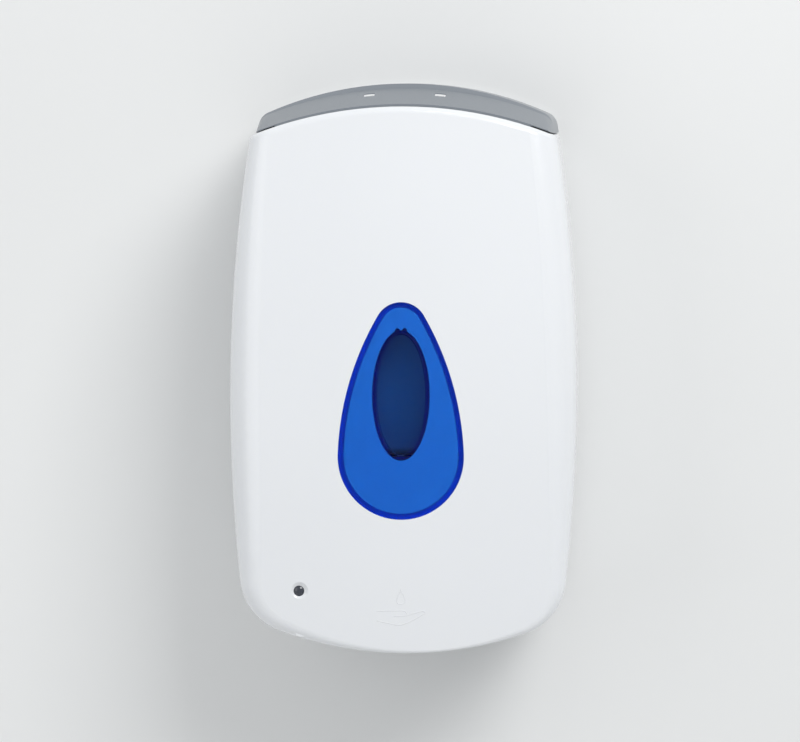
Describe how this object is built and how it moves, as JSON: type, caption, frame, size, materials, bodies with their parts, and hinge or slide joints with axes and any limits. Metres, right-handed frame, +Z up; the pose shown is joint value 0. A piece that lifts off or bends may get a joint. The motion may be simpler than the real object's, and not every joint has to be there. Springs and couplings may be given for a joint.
{
  "type": "wall mounted soap dispenser",
  "caption": "Touch-free wall soap dispenser: hinged glossy cover with a drop-shaped tinted window, key-latched hood, reservoir and motor-driven roller pump.",
  "frame": {"origin": "centre of the four wall screw holes, on the wall plane", "axes": "+Z up, +Y into the wall, the front faces -Y, +X to the viewer's right"},
  "size_m": [0.165, 0.115, 0.2693],
  "materials": {
    "cover_white": "glossy moulded ABS",
    "lens_blue": "clear blue tinted, polished",
    "smoke_lens": "smoked, polished",
    "hood_grey": "satin grey ABS",
    "frame_white": "fine matte texture",
    "latch_white": "smooth acetal",
    "spring_steel": "bright drawn wire and nickelled strip",
    "pin_steel": "ground",
    "pin_brass": "machined",
    "reservoir_clear": "translucent natural polyethylene",
    "lid_white": "smooth",
    "seal_rubber": "soft matte",
    "nut_blue": "smooth",
    "housing_grey": "fine moulded texture",
    "battery_black": "fine moulded texture",
    "cell_wrap": "printed sleeve, plain",
    "pump_white": "smooth",
    "tube_silicone": "translucent silicone",
    "gear_white": "natural acetal",
    "roller_black": "smooth",
    "motor_steel": "zinc plated can",
    "nozzle_white": "smooth",
    "led_red": "tinted epoxy",
    "diode_clear": "clear epoxy",
    "board_green": "solder mask"
  },
  "bodies": {
    "frame": {"top_hood": "hood_grey", "back_plate": "frame_white", "key_guide": "latch_white", "latch_springs": "spring_steel", "hinge_pins": "pin_steel", "reservoir": "reservoir_clear", "reservoir_lid": "lid_white", "lid_seal": "seal_rubber", "outlet_nut": "nut_blue", "drive_housing": "housing_grey", "drive_cover": "housing_grey", "battery_box": "battery_black", "battery_cells": "cell_wrap", "battery_contacts": "spring_steel", "pump_block": "pump_white", "pump_tube": "tube_silicone", "reduction_axle": "pin_steel", "motor": "motor_steel", "motor_cap": "battery_black", "nozzle": "nozzle_white", "sensor_window": "smoke_lens", "switch_body": "battery_black", "indicator_led": "led_red", "control_board": "board_green", "board_components": "battery_black", "sensor_board": "board_green", "ir_emitter": "diode_clear", "ir_receiver": "smoke_lens", "hood_screws": "pin_steel", "drive_cover_screws": "pin_steel", "mounting_screws": "pin_steel", "board_screws": "pin_steel", "motor_screws": "pin_steel"},
    "cover": {"front_cover": "cover_white", "window_lens": "lens_blue", "indicator_lens": "smoke_lens"},
    "latch": {"latch_bar": "latch_white"},
    "rotor": {"pump_rotor": "gear_white"},
    "roller_a": {"roller_1": "roller_black"},
    "roller_b": {"roller_2": "roller_black"},
    "roller_c": {"roller_3": "roller_black"},
    "reduction": {"reduction_gear": "gear_white"},
    "pinion": {"motor_pinion": "pin_brass"},
    "battery_door": {"battery_lid": "battery_black"},
    "dose_switch": {"dose_slider": "pump_white"}
  },
  "joints": [
    {"name": "cover_hinge", "type": "hinge", "parent": "frame", "child": "cover", "pos_m": [0, -0.021, -0.121], "axis": [1, 0, 0], "range_deg": [0, 90]},
    {"name": "latch_slide", "type": "slide", "parent": "frame", "child": "latch", "axis": [0, 0, -1], "range_m": [0, 0.004], "stiffness_N_per_m": 600, "springref_m": -0.004, "deforming": ["latch_springs"]},
    {"name": "rotor_spin", "type": "hinge", "parent": "frame", "child": "rotor", "pos_m": [0.014, -0.076, -0.094], "axis": [0, 1, 0], "continuous": true},
    {"name": "reduction_spin", "type": "hinge", "parent": "frame", "child": "reduction", "pos_m": [-0.00641, -0.076, -0.08657], "axis": [0, 1, 0], "continuous": true},
    {"name": "pinion_spin", "type": "hinge", "parent": "frame", "child": "pinion", "pos_m": [-0.02453, -0.076, -0.08657], "axis": [0, 1, 0], "continuous": true},
    {"name": "battery_door_slide", "type": "slide", "parent": "frame", "child": "battery_door", "axis": [-1, 0, 0], "range_m": [0, 0.0045]},
    {"name": "dose_switch_slide", "type": "slide", "parent": "frame", "child": "dose_switch", "axis": [0, 0, 1], "range_m": [-0.002, 0.002]},
    {"name": "roller_a_spin", "type": "hinge", "parent": "rotor", "child": "roller_a", "pos_m": [0.014, -0.076, -0.081], "axis": [0, 1, 0], "continuous": true},
    {"name": "roller_b_spin", "type": "hinge", "parent": "rotor", "child": "roller_b", "pos_m": [0.00274, -0.076, -0.1005], "axis": [0, 1, 0], "continuous": true},
    {"name": "roller_c_spin", "type": "hinge", "parent": "rotor", "child": "roller_c", "pos_m": [0.02526, -0.076, -0.1005], "axis": [0, 1, 0], "continuous": true}
  ],
  "couplings": [
    {"joint": "reduction_spin", "follows": "rotor_spin", "ratio": -5},
    {"joint": "pinion_spin", "follows": "rotor_spin", "ratio": 20},
    {"joint": "roller_a_spin", "follows": "rotor_spin", "ratio": -3.3636},
    {"joint": "roller_b_spin", "follows": "rotor_spin", "ratio": -3.3636},
    {"joint": "roller_c_spin", "follows": "rotor_spin", "ratio": -3.3636}
  ]
}
